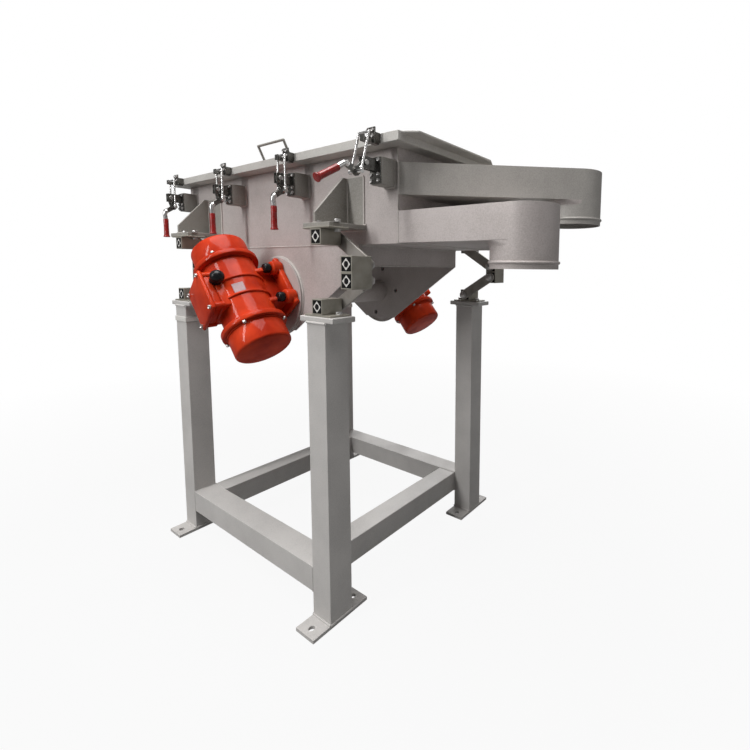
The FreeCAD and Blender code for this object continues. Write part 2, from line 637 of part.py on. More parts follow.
def set_bow(part, side, x, angle):
    """Carries the bow's pin round with the lever, and leans the bow inwards by its share."""
    part.Placement = FreeCAD.Placement(FreeCAD.Vector(), FreeCAD.Rotation(FreeCAD.Vector(side, 0, 0), 12))
    part.setExpression("Placement.Rotation.Angle", bound(f"({angle}) * D.bowShare"))
    reach = f"(D.linkDrop * sin({angle}) - D.linkReach * cos({angle}))"
    drop = f"(D.linkDrop * cos({angle}) + D.linkReach * sin({angle}))"
    place(part, x, f"{side} * ({FACE} + D.pivotReach + {reach})", f"D.pivotHeight - {drop}")
    return part


def latches():
    standoffs, bases, catches, far_levers, far_bows = [], [], [], [], []
    for side in (-1, 1):
        for index in range(4):
            x = latch_x(index)
            standoffs.append(box(about(x, "D.standoffHalf"), span(side, "D.boxHalf", FACE),
                                 ("D.standoffBottom", "D.standoffTop")))
            bases.append(latch_base(side, x))
            finger = box(about(x, "D.catchHalf"), out(side, f"{LID_EDGE} - {FACE} + 1", "D.catchReach"),
                         ("D.catchTop - D.catchThick", "D.catchTop"))
            lip = box(about(x, "D.catchHalf"), out(side, "D.catchReach - 3", "D.catchReach"),
                      ("D.catchTop - 1", "D.catchTop + D.catchLip"))
            root = f"{LID_EDGE} - {FACE}"
            block = box(about(x, "D.catchHalf + 3"), out(side, root, f"{root} + D.catchBlock + 1"),
                        ("D.wallTop", LID_TOP))
            plate = box(about(x, "D.catchHalf + 5"),
                        out(side, f"{root} + D.catchBlock", f"{root} + D.catchBlock + D.catchPlate"),
                        ("D.catchTop - D.catchThick", f"{LID_TOP} + D.catchRise"))
            catches.append(fuse(finger, lip, block, plate))
            angle = "1 * D.openAngle" if (side < 0 and index == 0) else "0 * D.openAngle"
            lever = set_lever(lever_shape(side), side, x, angle)
            bow = set_bow(bow_shape(), side, x, angle)
            if side < 0:
                node(f"latch_lever_{index + 1}", lever)
                node(f"latch_bow_{index + 1}", bow)
            else:
                far_levers.append(lever)
                far_bows.append(bow)
    node("latch_standoffs", *standoffs)
    node("latch_bases", *bases)
    node("lid_catches", *catches)
    node("far_latch_levers", *far_levers)
    node("far_latch_bows", *far_bows)


stand()
rubber_mounts()
mount_brackets()
screening_box()
lower_frame()
lid()
spout("upper_spout", 1, DECK_TOP)
spout("lower_spout", -1, LOWER_DUCT)
motors()
latches()
doc.recompute()

for item in doc.Objects:
    if "Invalid" in item.State or "Error" in item.State:
        raise RuntimeError(f"{item.Name} is not valid: {item.State}")
os.makedirs("parts", exist_ok=True)
for part in nodes:
    if part.Shape.isNull() or not part.Shape.isValid():
        raise RuntimeError(f"{part.Label} has no valid shape")
    part.Shape.exportStep(f"parts/{part.Label}.step")
print(len(nodes), "sub-parts written")
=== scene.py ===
import bpy
import bmesh
import json
import math
from mathutils import Matrix, Vector

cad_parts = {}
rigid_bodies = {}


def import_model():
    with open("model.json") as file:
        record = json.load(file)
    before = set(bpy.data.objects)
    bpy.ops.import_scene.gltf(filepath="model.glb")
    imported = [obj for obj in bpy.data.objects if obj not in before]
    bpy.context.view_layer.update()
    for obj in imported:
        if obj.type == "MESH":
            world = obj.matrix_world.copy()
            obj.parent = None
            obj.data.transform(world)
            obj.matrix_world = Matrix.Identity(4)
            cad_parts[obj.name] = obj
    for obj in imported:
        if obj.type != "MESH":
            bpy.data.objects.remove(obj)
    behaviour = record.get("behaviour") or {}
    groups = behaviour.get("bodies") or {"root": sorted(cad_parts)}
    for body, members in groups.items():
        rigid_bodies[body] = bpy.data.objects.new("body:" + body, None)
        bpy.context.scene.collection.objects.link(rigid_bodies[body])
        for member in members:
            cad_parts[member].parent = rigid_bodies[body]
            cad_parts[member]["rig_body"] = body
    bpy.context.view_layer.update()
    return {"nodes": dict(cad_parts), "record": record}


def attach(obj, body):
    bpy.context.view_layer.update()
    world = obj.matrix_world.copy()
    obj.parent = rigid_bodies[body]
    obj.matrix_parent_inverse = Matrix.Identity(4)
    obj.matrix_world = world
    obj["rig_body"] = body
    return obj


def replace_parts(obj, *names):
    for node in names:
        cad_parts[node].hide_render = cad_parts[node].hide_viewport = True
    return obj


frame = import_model()
print("frame loaded")


# Shader maths: a Value wraps a socket, a Paint fills the node tree of a material or the world

class Value:
    def __init__(self, paint, socket):
        self.paint = paint
        self.socket = socket

    def combine(self, operation, other, flip=False):
        pair = {0: other, 1: self} if flip else {0: self, 1: other}
        return self.paint.node("ShaderNodeMath", {"operation": operation}, pair)

    def __add__(self, other):
        return self.combine("ADD", other)

    def __radd__(self, other):
        return self.combine("ADD", other)

    def __sub__(self, other):
        return self.combine("SUBTRACT", other)

    def __rsub__(self, other):
        return self.combine("SUBTRACT", other, flip=True)

    def __mul__(self, other):
        return self.combine("MULTIPLY", other)

    def __rmul__(self, other):
        return self.combine("MULTIPLY", other)


class Paint:
    def __init__(self, owner, outlet="ShaderNodeOutputMaterial"):
        owner.use_nodes = True
        self.owner = owner
        self.outlet = outlet
        self.tree = owner.node_tree
        self.tree.nodes.clear()
        self.place = self.node("ShaderNodeTexCoord", {}, {}, "Object")

    def node(self, kind, settings, sockets, output=0):
        made = self.tree.nodes.new(kind)
        for key, value in settings.items():
            setattr(made, key, value)
        for key, value in sockets.items():
            if isinstance(value, Value):
                self.tree.links.new(value.socket, made.inputs[key])
            else:
                made.inputs[key].default_value = value
        return Value(self, made.outputs[output])

    def noise(self, scale, detail, roughness=0.55):
        sockets = {"Vector": self.place, "Scale": scale, "Detail": detail, "Roughness": roughness}
        return self.node("ShaderNodeTexNoise", {}, sockets, "Fac")

    def band(self, value, low, high):
        sockets = {"Value": value, "From Min": low, "From Max": high}
        return self.node("ShaderNodeMapRange", {}, sockets)

    def blend(self, amount, first, second):
        sockets = {0: amount, 6: first, 7: second}
        return self.node("ShaderNodeMix", {"data_type": "RGBA"}, sockets, 2)

    def bump(self, height, strength, distance):
        sockets = {"Height": height, "Strength": strength, "Distance": distance}
        return self.node("ShaderNodeBump", {}, sockets)

    def surface(self, sockets):
        return self.close(self.node("ShaderNodeBsdfPrincipled", {}, sockets))

    def close(self, shader):
        out = self.tree.nodes.new(self.outlet)
        self.tree.links.new(shader.socket, out.inputs["Surface"])
        return self.owner


def tone(red, green, blue):
    return (red, green, blue, 1.0)


# Finishes: a noise is its scale and detail, rough is a base and what a noise adds to it

blasted = {
    "shades": {"wall": (tone(0.50, 0.455, 0.44), tone(0.39, 0.35, 0.333)),
               # lid: lighter than the wall's tones, painted light set from the lid's better lit
               # near edge
               "lid": (tone(0.53, 0.515, 0.485), tone(0.42, 0.405, 0.38)),
               "spout": (tone(0.42, 0.40, 0.375), tone(0.33, 0.314, 0.292)),
               "fitting": (tone(0.31, 0.295, 0.27), tone(0.22, 0.207, 0.188)),
               "weld": (tone(0.60, 0.56, 0.53), tone(0.36, 0.33, 0.31))},
    "clouds": (7.0, 4.0), "cloudBand": (0.35, 0.68), "cloudShare": 0.65,
    "wipe": (38.0, 5.0, 0.65), "wipeBand": (0.42, 0.66), "wipeShare": 0.2, "wipeHeight": 0.2,
    "speckle": (420.0, 2.0), "speckleShare": 2.4, "grain": (900.0, 2.0), "grainHeight": 0.5,
    "heat": (120.0, 3.0), "ripple": (330.0, 1.0), "rippleHeight": 2.0,
    "rough": 0.4, "roughSwing": 0.1, "bump": (0.35, 0.0006),
    "fixed": {"Metallic": 0.15, "Specular IOR Level": 0.35},
}

def blastedSteel(name, shade):
    paint = Paint(bpy.data.materials.new(name))
    clouds = paint.band(paint.noise(*blasted["clouds"]), *blasted["cloudBand"])
    grain = paint.noise(*blasted["grain"])
    wipe = paint.band(paint.noise(*blasted["wipe"]), *blasted["wipeBand"])
    height = grain * blasted["grainHeight"] + wipe * blasted["wipeHeight"]
    if shade == "weld":
        height = height + paint.noise(*blasted["ripple"]) * blasted["rippleHeight"]
        amount = paint.noise(*blasted["heat"])
    else:
        speckle = paint.noise(*blasted["speckle"]) - 0.5
        amount = (clouds * blasted["cloudShare"] + wipe * blasted["wipeShare"]
                  + speckle * blasted["speckleShare"])
    rough = clouds * blasted["roughSwing"] + grain * blasted["roughSwing"] + blasted["rough"]
    return paint.surface({"Base Color": paint.blend(amount, *blasted["shades"][shade]),
                          "Roughness": rough, "Normal": paint.bump(height, *blasted["bump"]),
                          **blasted["fixed"]})


standCoat = {
    "tones": (tone(0.56, 0.54, 0.52), tone(0.46, 0.445, 0.43)),
    "clouds": (11.0, 4.0), "cloudBand": (0.35, 0.7), "cloudShare": 0.7,
    "specks": (160.0, 2.0), "speckBand": (0.68, 0.74), "speckShare": 0.5, "speckHeight": 0.6,
    "grain": (480.0, 2.0), "grainShare": 2.0, "peel": (420.0, 2.0),
    "rough": (0.42, 0.12), "bump": (0.25, 0.0005),
    "fixed": {"Metallic": 0.1, "Specular IOR Level": 0.35},
}

def standPaint():
    paint = Paint(bpy.data.materials.new("standPaint"))
    clouds = paint.band(paint.noise(*standCoat["clouds"]), *standCoat["cloudBand"])
    specks = paint.band(paint.noise(*standCoat["specks"]), *standCoat["speckBand"])
    grain = paint.noise(*standCoat["grain"]) - 0.5
    amount = (clouds * standCoat["cloudShare"] + specks * standCoat["speckShare"]
              + grain * standCoat["grainShare"])
    height = paint.noise(*standCoat["peel"]) + specks * standCoat["speckHeight"]
    base, swing = standCoat["rough"]
    return paint.surface({"Base Color": paint.blend(amount, *standCoat["tones"]),
                          "Roughness": base + clouds * swing,
                          "Normal": paint.bump(height, *standCoat["bump"]), **standCoat["fixed"]})


# two tones blended by a patch noise, with a finer grain for the bump
plainCoats = {
    "motor": {"name": "motorPaint", "tones": (tone(0.60, 0.048, 0.012), tone(0.34, 0.018, 0.005)),
              "patch": (14.0, 3.0), "band": (0.35, 0.7), "grain": (210.0, 2.0),
              "rough": (0.42, 0.1), "bump": (0.12, 0.0006),
              "fixed": {"Specular IOR Level": 0.04, "Coat Weight": 0.16, "Coat Roughness": 0.07}},
    "mount": {"name": "mountMetal", "tones": (tone(0.33, 0.31, 0.265), tone(0.22, 0.205, 0.17)),
              "patch": (26.0, 4.0), "band": (0.35, 0.7), "grain": (700.0, 2.0),
              "rough": (0.36, 0.16), "roughBy": "grain", "bump": (0.2, 0.0004),
              "fixed": {"Metallic": 0.3}},
    # arm: the light metal's tone darkened part way, painted shade from the arms' shadowed faces
    "arm": {"name": "armMetalPartlyPaintedShade", "tones": (tone(0.31, 0.29, 0.265), tone(0.21, 0.195, 0.175)),
            "patch": (30.0, 4.0), "band": (0.35, 0.7), "grain": (500.0, 3.0),
            "rough": (0.42, 0.12), "bump": (0.2, 0.0004), "fixed": {"Metallic": 0.4}},
    "rubber": {"name": "rubber", "tones": (tone(0.006, 0.006, 0.006), tone(0.018, 0.017, 0.016)),
               "patch": (60.0, 4.0), "band": (0.5, 0.8), "grain": (500.0, 3.0),
               "rough": (0.62, 0.2), "bump": (0.25, 0.0005), "fixed": {"Specular IOR Level": 0.1}},
    "chrome": {"name": "chrome", "tones": (tone(0.72, 0.71, 0.70), tone(0.52, 0.51, 0.50)),
               "patch": (60.0, 3.0), "band": (0.4, 0.7), "grain": (160.0, 3.0),
               "rough": (0.22, 0.12), "bump": (0.03, 0.0002), "fixed": {"Metallic": 1.0}},
    "darkChrome": {"name": "darkChrome",
                   "tones": (tone(0.16, 0.155, 0.145), tone(0.07, 0.067, 0.06)),
                   "patch": (80.0, 3.0), "band": (0.4, 0.7), "grain": (700.0, 3.0),
                   "rough": (0.2, 0.16), "bump": (0.1, 0.0002), "fixed": {"Metallic": 0.85}},
    "core": {"name": "coreMetal", "tones": (tone(0.80, 0.78, 0.74), tone(0.62, 0.60, 0.57)),
             "patch": (400.0, 2.0), "rough": (0.36, 0.12), "bump": (0.15, 0.0004),
             "fixed": {"Metallic": 0.2}},
    "bolt": {"name": "boltSteel", "tones": (tone(0.55, 0.54, 0.53), tone(0.34, 0.33, 0.32)),
             "patch": (500.0, 2.0), "rough": (0.28, 0.16), "fixed": {"Metallic": 0.9}},
    "grip": {"name": "gripPlastic", "tones": (tone(0.27, 0.011, 0.009), tone(0.16, 0.007, 0.007)),
             "patch": (90.0, 3.0), "band": (0.45, 0.75), "grain": (240.0, 3.0),
             "rough": (0.24, 0.14), "bump": (0.12, 0.0004), "fixed": {}},
    "black": {"name": "blackPlastic",
              "tones": (tone(0.004, 0.004, 0.005), tone(0.010, 0.010, 0.011)),
              "patch": (400.0, 2.0), "rough": (0.2, 0.1), "fixed": {"Specular IOR Level": 0.22}},
    "plate": {"name": "bareAlloy", "tones": (tone(0.34, 0.22, 0.235), tone(0.26, 0.14, 0.15)),
              "patch": (300.0, 2.0), "rough": (0.4, 0.1), "fixed": {}},
}

def plainCoat(coat):
    paint = Paint(bpy.data.materials.new(coat["name"]))
    patch = paint.noise(*coat["patch"])
    if "band" in coat:
        patch = paint.band(patch, *coat["band"])
    grain = paint.noise(*coat["grain"]) if "grain" in coat else patch
    base, swing = coat["rough"]
    sockets = {"Base Color": paint.blend(patch, *coat["tones"]), **coat["fixed"]}
    sockets["Roughness"] = base + (grain if "roughBy" in coat else patch) * swing
    if "bump" in coat:
        sockets["Normal"] = paint.bump(grain, *coat["bump"])
    return paint.surface(sockets)


wire = {"pitch": 0.004, "edge": 0.18, "core": 0.12, "bump": (0.5, 0.0006),
        "tones": (tone(0.42, 0.42, 0.41), tone(0.6, 0.59, 0.58)),
        "fixed": {"Metallic": 0.9, "Roughness": 0.3}}

def wovenWire():
    # wires both ways, clear between them
    paint = Paint(bpy.data.materials.new("wovenWire"))
    pitch, wires = wire["pitch"], []
    for axis in ("X", "Y"):
        across = paint.node("ShaderNodeSeparateXYZ", {}, {0: paint.place}, axis)
        away = paint.node("ShaderNodeMath", {"operation": "PINGPONG"}, {0: across, 1: pitch / 2})
        wires.append(paint.band(away, pitch * wire["edge"], pitch * wire["core"]))
    cover = paint.node("ShaderNodeMath", {"operation": "MAXIMUM"}, {0: wires[0], 1: wires[1]})
    return paint.surface({"Base Color": paint.blend(wires[0], *wire["tones"]), "Alpha": cover,
                          "Normal": paint.bump(cover, *wire["bump"]), **wire["fixed"]})


finishes = {key: plainCoat(coat) for key, coat in plainCoats.items()}
finishes["stand"] = standPaint()
finishes["mesh"] = wovenWire()
for key, name, shade in (("box", "blastedSteel", "wall"), ("lid", "lidSteelPaintedLight", "lid"),
                         ("fitting", "fittingSteel", "fitting"), ("spout", "spoutSteel", "spout"),
                         ("weld", "weldSteel", "weld")):
    finishes[key] = blastedSteel(name, shade)

slotFinish = {"stand_paint": "stand", "mount_metal": "mount", "mount_rubber": "rubber",
              "box_steel": "box", "screen_mesh": "mesh", "motor_paint": "motor",
              "latch_chrome": "chrome"}
for entry in frame["record"]["subparts"]:
    cadNode = frame["nodes"][entry["node"]]
    cadNode.data.materials.clear()
    cadNode.data.materials.append(finishes[slotFinish[entry["material_slot"]]])
# mount_arms takes the arm's tone, which is partly painted shade
nodeFinish = {"mount_arms": "arm", "mount_cores": "core", "leg_collars": "core",
              "latch_bases": "darkChrome", "lid_catches": "darkChrome", "mount_brackets": "fitting",
              # lid_panel and rim_flange take the lid's lighter tone, which is painted light
              "latch_standoffs": "fitting", "lid_handles": "fitting", "lid_panel": "lid",
              "rim_flange": "lid", "upper_spout": "spout"}
for node, finish in nodeFinish.items():
    frame["nodes"][node].data.materials[0] = finishes[finish]
print("finishes made")


# Making, copying and joining pieces

def clearSelection():
    bpy.ops.object.select_all(action="DESELECT")


def choose(pieces):
    clearSelection()
    for piece in pieces:
        piece.select_set(True)
    bpy.context.view_layer.objects.active = pieces[0]


def settle(piece):
    choose([piece])
    bpy.ops.object.transform_apply(location=True, rotation=True, scale=True)
    return piece


def join(pieces):
    choose(pieces)
    if len(pieces) > 1:
        bpy.ops.object.join()
    bpy.ops.object.transform_apply(location=True, rotation=True, scale=True)
    return bpy.context.view_layer.objects.active


smoothAngle = math.radians(40)

def show(piece, name, finish, body):
    piece.name = name
    piece.data.name = name
    if not piece.data.materials:
        piece.data.materials.append(finishes[finish])
    choose([piece])
    bpy.ops.object.shade_smooth_by_angle(angle=smoothAngle)
    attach(piece, body)
    return piece


def cylinder(radius, depth, sides, centre=(0, 0, 0), axis="z"):
    clearSelection()
    turn = {"x": (0, math.pi / 2, 0), "y": (math.pi / 2, 0, 0), "z": (0, 0, 0)}[axis]
    bpy.ops.mesh.primitive_cylinder_add(vertices=sides, radius=radius, depth=depth, location=centre,
                                        rotation=turn)
    return settle(bpy.context.object)


def puck(radius, depth, sides):
    # a disc that stands on the origin
    return cylinder(radius, depth, sides, (0, 0, depth / 2))


def block(low, high):
    clearSelection()
    middle = [(a + b) / 2 for a, b in zip(low, high)]
    bpy.ops.mesh.primitive_cube_add(size=1, location=middle)
    piece = bpy.context.object
    piece.scale = [b - a for a, b in zip(low, high)]
    return settle(piece)


def ball(radius, centre, segments, rings):
    clearSelection()
    bpy.ops.mesh.primitive_uv_sphere_add(segments=segments, ring_count=rings, radius=radius,
                                         location=centre)
    return settle(bpy.context.object)


def soften(piece, width, segments=2, angle=30):
    choose([piece])
    bevel = piece.modifiers.new("soften", "BEVEL")
    bevel.width = width
    bevel.segments = segments
    bevel.limit_method = "ANGLE"
    bevel.angle_limit = math.radians(angle)
    bpy.ops.object.modifier_apply(modifier=bevel.name)
    return piece


def paintWith(piece, finish):
    piece.data.materials.clear()
    piece.data.materials.append(finishes[finish])
    return piece


def mirrorAcross(piece):
    piece.data.transform(Matrix.Diagonal((1, -1, 1, 1)))
    piece.data.flip_normals()


def turnTo(direction):
    return Vector(direction).to_track_quat("Z", "Y").to_matrix().to_4x4()


def scatter(source, places):
    twins = []
    for spot, facing in places:
        twin = source.copy()
        twin.data = source.data.copy()
        bpy.context.collection.objects.link(twin)
        twin.matrix_world = Matrix.Translation(Vector(spot)) @ turnTo(facing)
        twins.append(twin)
    return join(twins)


def drop(piece):
    bpy.data.objects.remove(piece, do_unlink=True)


def strew(source, places):
    # as scatter, for a source that isn't needed again
    strewn = scatter(source, places)
    drop(source)
    return strewn


# Fabricated pieces: the CAD node's own shape with its edges rolled

edges = {
    "tube": {"width": 0.0055, "segments": 4, "slot": "stand_paint",
             "nodes": ("leg_front_near", "leg_front_far", "leg_rear_near", "leg_rear_far",
                       "side_beams", "cross_beams")},
    "plate": {"width": 0.0022, "segments": 3, "slot": "stand_paint",
              "nodes": ("cap_plates", "foot_plates", "leg_collars")},
    "mount": {"width": 0.0012, "segments": 2, "slot": "mount_metal",
              "nodes": ("mount_housings", "mount_arms", "mount_flanges")},
    "sheet": {"width": 0.0009, "segments": 2, "slot": "box_steel",
              "nodes": ("mount_brackets", "lid_panel", "latch_standoffs", "rim_flange",
                        "cross_stiffeners", "side_webs", "side_walls", "motor_discs", "upper_spout",
                        "lower_spout")},
    "fitting": {"width": 0.0006, "segments": 2, "slot": "latch_chrome",
                "nodes": ("latch_bases", "lid_catches")},
}
cleaning = {"merge": 0.000005, "flat": math.radians(1), "edgeAngle": 40}

def dress(node, group):
    source = frame["nodes"][node]
    piece = bpy.data.objects.new(node + "Dressed", source.data.copy())
    bpy.context.collection.objects.link(piece)
    choose([piece])
    bpy.ops.object.mode_set(mode="EDIT")
    bpy.ops.mesh.select_all(action="SELECT")
    bpy.ops.mesh.remove_doubles(threshold=cleaning["merge"])
    bpy.ops.mesh.dissolve_limited(angle_limit=cleaning["flat"])
    bpy.ops.object.mode_set(mode="OBJECT")
    soften(piece, group["width"], group["segments"], cleaning["edgeAngle"])
    show(piece, piece.name, "box", source["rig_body"])
    # flat faces keep their own normal, and only the rolled edges turn
    even = piece.modifiers.new("even", "WEIGHTED_NORMAL")
    even.keep_sharp = True
    bpy.ops.object.modifier_apply(modifier=even.name)
    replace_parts(piece, node)


for group in edges.values():
    for node in group["nodes"]:
        dress(node, group)
print("edges dressed")


# Fasteners

hexBolt = {"acrossCorners": 0.0196, "head": 0.0065, "headRound": 0.0009, "washer": 0.0105,
           "washerThick": 0.0018, "washerRound": 0.0004}

def makeBolt(size):
    top = cylinder(hexBolt["acrossCorners"] / 2, hexBolt["head"], 6,
                   (0, 0, hexBolt["washerThick"] + hexBolt["head"] / 2))
    soften(top, hexBolt["headRound"])
    washer = soften(puck(hexBolt["washer"], hexBolt["washerThick"], 24), hexBolt["washerRound"], 1)
    bolt = join([paintWith(top, "bolt"), paintWith(washer, "bolt")])
    bolt.scale = (size, size, size)
    return settle(bolt)


socketScrew = {"radius": 0.0045, "head": 0.0045, "recess": 0.0022, "rim": 0.45, "round": 0.0003}
capNormal = 0.9

def makeScrew(size):
    head = puck(socketScrew["radius"], socketScrew["head"], 20)
    bpy.ops.object.mode_set(mode="EDIT")
    mesh = bmesh.from_edit_mesh(head.data)
    for face in mesh.faces:
        face.select = face.normal.z > capNormal
    bmesh.update_edit_mesh(head.data)
    bpy.ops.mesh.inset(thickness=socketScrew["radius"] * socketScrew["rim"])
    bpy.ops.transform.translate(value=(0, 0, -socketScrew["recess"]))
    bpy.ops.object.mode_set(mode="OBJECT")
    soften(head, socketScrew["round"], 1, 50)
    head.scale = (size, size, size)
    return paintWith(settle(head), "bolt")


leg = {"x": 0.308, "y": 0.272, "half": 0.030, "top": 0.674}
mount = {"shift": 0.092, "low": 0.7065, "midLow": 0.7625, "midHigh": 0.7955, "high": 0.8515,
         "lowFlange": 0.690, "highFlange": 0.868, "bracket": 0.882}
corners = [(end, side) for end in (1, -1) for side in (-1, 1)]

def coreBars(end):
    # place along the stand and height of one mount's four core bars
    x = end * leg["x"]
    return ((x, mount["low"]), (x + mount["shift"], mount["midLow"]),
            (x + mount["shift"], mount["midHigh"]), (x, mount["high"]))


mountBolt = {"armFace": 0.034, "aside": 0.031, "inward": 0.005, "armSize": 1.0, "flangeSize": 0.72}

def mountBolts():
    heads, flangeBolts = [], []
    for end, side in corners:
        armFace = side * (leg["y"] - mountBolt["armFace"])
        heads += [((x, armFace, z), (0, -side, 0)) for x, z in coreBars(end)]
        y = side * (leg["y"] - mountBolt["inward"])
        for way in (-1, 1):
            x = end * leg["x"] + way * mountBolt["aside"]
            for level, facing in (("lowFlange", 1), ("highFlange", -1), ("bracket", 1)):
                flangeBolts.append(((x, y, mount[level]), (0, 0, facing)))
    for name, size, places in (("mountArmBolts", mountBolt["armSize"], heads),
                               ("mountFlangeBolts", mountBolt["flangeSize"], flangeBolts)):
        show(strew(makeBolt(size), places), name, "bolt", "frame")


shaft = {"radius": 0.0064, "thick": 0.004, "face": 0.0265, "round": 0.0006}

def coreShafts():
    # the dark bolt shafts that show in the core bars' outboard ends
    end = soften(puck(shaft["radius"], shaft["thick"], 28), shaft["round"])
    reach = leg["y"] + shaft["face"] - shaft["thick"]
    places = [((x, side * reach, z), (0, side, 0))
              for way, side in corners for x, z in coreBars(way)]
    show(paintWith(strew(end, places), "black"), "coreShafts", "black", "frame")


mountBolts()
coreShafts()
print("mount fasteners made")


# Weld beads: a thin round rod along each seam, rippled by its finish

weld = {"radius": 0.0026, "sides": 8, "foot": 0.0088, "capSunk": 0.0008, "beam": (0.063, 0.121),
        "inset": 0.001, "proud": 0.0006, "ringSegments": 64}

def bead(start, end, radius=weld["radius"]):
    a, b = Vector(start), Vector(end)
    clearSelection()
    bpy.ops.mesh.primitive_cylinder_add(vertices=weld["sides"], radius=radius, depth=(b - a).length)
    piece = bpy.context.object
    piece.matrix_world = Matrix.Translation((a + b) / 2) @ turnTo(b - a)
    return piece


def seam(x, y, z, radius=weld["radius"]):
    # a straight bead along the coordinate that is given as a pair
    start, end = ([value[index] if isinstance(value, tuple) else value for value in (x, y, z)]
                  for index in (0, 1))
    return bead(start, end, radius)


def roundBead(centre, radius, thickness, turn):
    clearSelection()
    bpy.ops.mesh.primitive_torus_add(major_radius=radius, minor_radius=thickness, location=centre,
                                     major_segments=weld["ringSegments"],
                                     minor_segments=weld["sides"], rotation=turn)
    return bpy.context.object


def around(low, high, level, axis):
    # four beads round a rectangle that lies across one axis
    (a0, b0), (a1, b1) = low, high
    ring = [(a0, b0), (a1, b0), (a1, b1), (a0, b1)]
    pieces = []
    for first, second in zip(ring, ring[1:] + ring[:1]):
        points = []
        for a, b in (first, second):
            points.append({"z": (a, b, level), "y": (a, level, b), "x": (level, a, b)}[axis])
        pieces.append(bead(*points))
    return pieces


def standWelds():
    pieces = []
    half, inset, (bottom, top) = leg["half"], weld["inset"], weld["beam"]
    for end, side in corners:
        x, y = end * leg["x"], side * leg["y"]
        for level in (weld["foot"], leg["top"] - weld["capSunk"]):
            pieces += around((x - half, y - half), (x + half, y + half), level, "z")
        inner, face = end * (leg["x"] - half), side * (leg["y"] - half)
        pieces += around((y - half + inset, bottom), (y + half - inset, top),
                         inner - end * weld["proud"], "x")
        left, right = sorted((inner, inner - end * 2 * half))
        pieces += around((left + inset, bottom), (right - inset, top),
                         face - side * weld["proud"], "y")
    show(join(pieces), "standWelds", "stand", "frame")


latchRow = {"first": 0.409, "pitch": 0.286, "count": 4}
latchPlaces = [latchRow["first"] - latchRow["pitch"] * index for index in range(latchRow["count"])]
boxWeld = {
    "edge": {"x": (-0.315, 0.315), "y": 0.185, "z": 0.840, "radius": 0.0016},
    "disc": {"y": 0.1855, "z": 0.710, "radius": 0.1035, "thick": 0.003},
    "wall": {"x": 0.430, "y": 0.184445, "z": (0.842, 1.037), "radius": 0.0018},
    "standoff": {"half": 0.015, "y": 0.1856, "z": (0.957, 1.012)},
    "brackets": ((0.249, 0.274, 0.336), (-0.388, -0.363, -0.280)), "web": 0.006,
    "back": {"y": 0.1862, "z": (0.882, 0.988)}, "shelf": {"y": (0.19, 0.278), "z": 0.8826},
    "gusset": {"y": 0.1895, "z": (0.884, 0.986), "radius": 0.002},
    "seat": {"y": 0.1856, "z": (0.8715, 0.8825)},
    "window": {"x": 0.4306, "half": 0.184, "low": (0.842, 0.942), "tall": 0.066},
    "stiffener": {"y": (-0.181, 0.181),
                  "rows": ((0.3155, 0.8394, weld["radius"]), (0.3150, 0.7925, 0.0014))},
}

def bracketWelds(side, left, gusset, right):
    # round the plate on the wall, along the gusset's foot and back, and where the shelf meets it
    back, shelf, rib, seat = (boxWeld[key] for key in ("back", "shelf", "gusset", "seat"))
    end, y = right - boxWeld["web"], side * back["y"]
    pieces = [seam(edge, y, back["z"]) for edge in (gusset, end)]
    pieces.append(seam((gusset, end), y, back["z"][1]))
    for edge in (gusset, gusset + boxWeld["web"]):
        pieces.append(seam(edge, tuple(side * reach for reach in shelf["y"]), shelf["z"]))
        pieces.append(seam(edge, side * rib["y"], rib["z"], rib["radius"]))
    return pieces + [seam((left, right), side * seat["y"], level) for level in seat["z"]]


def boxWelds():
    edge, disc, wall, standoff, window, stiffener = (boxWeld[key] for key in (
        "edge", "disc", "wall", "standoff", "window", "stiffener"))
    pieces = []
    for side in (-1, 1):
        pieces.append(seam(edge["x"], side * edge["y"], edge["z"], edge["radius"]))
        pieces.append(roundBead((0, side * disc["y"], disc["z"]), disc["radius"], disc["thick"],
                                (math.pi / 2, 0, 0)))
        pieces.append(seam(wall["x"], side * wall["y"], wall["z"], wall["radius"]))
        bottom, top = standoff["z"]
        for x in latchPlaces:
            pieces += around((x - standoff["half"], bottom), (x + standoff["half"], top),
                             side * standoff["y"], "y")
        for spans in boxWeld["brackets"]:
            pieces += bracketWelds(side, *spans)
    for low in window["low"]:
        pieces += around((-window["half"], low), (window["half"], low + window["tall"]),
                         window["x"], "x")
    for end in (-1, 1):
        pieces += [seam(end * x, stiffener["y"], z, radius) for x, z, radius in stiffener["rows"]]
    show(join(pieces), "boxWelds", "weld", "frame")


standWelds()
boxWelds()
print("welds made")


# Motors: laid out along the motor's own X axis with outboard at -Y, then put in place

motor = {"reach": 0.291, "height": 0.710, "tilt": math.radians(50), "half": 0.155, "joint": 0.100,
         "foot": 0.098, "bolt": (0.046, 0.060)}
cast = {"radius": 0.062, "gap": 0.002, "padHalf": 0.072, "pad": 0.014, "padRound": 0.004,
        "neck": (0.044, 0.020, 0.037), "neckRound": 0.006, "sunk": 0.007,
        "rib": {"radius": 0.066, "at": 0.024, "half": 0.003, "round": 0.002},
        "ring": {"radius": 0.075, "wide": 0.014, "round": 0.003},
        "web": {"at": 0.046, "half": 0.006, "from": 0.028, "across": 0.050, "flareFrom": 0.05,
                "flare": 1.36, "round": 0.003},
        "lug": {"radius": 0.018, "tall": 0.028, "round": 0.004},
        "seat": {"radius": 0.0145, "thick": 0.0012, "fall": 0.0284, "round": 0.0005}}
pairs = [(x, z) for x in (-1, 1) for z in (-1, 1)]

def inPlace(pieces, side):
    piece = join(pieces)
    if side > 0:
        mirrorAcross(piece)
    turn = Matrix.Rotation(motor["tilt"], 4, "Y")
    piece.data.transform(Matrix.Translation((0, side * motor["reach"], motor["height"])) @ turn)
    return piece


def placeMotor(pieces, side, name, finish):
    return show(inPlace(pieces, side), name, finish, "frame")


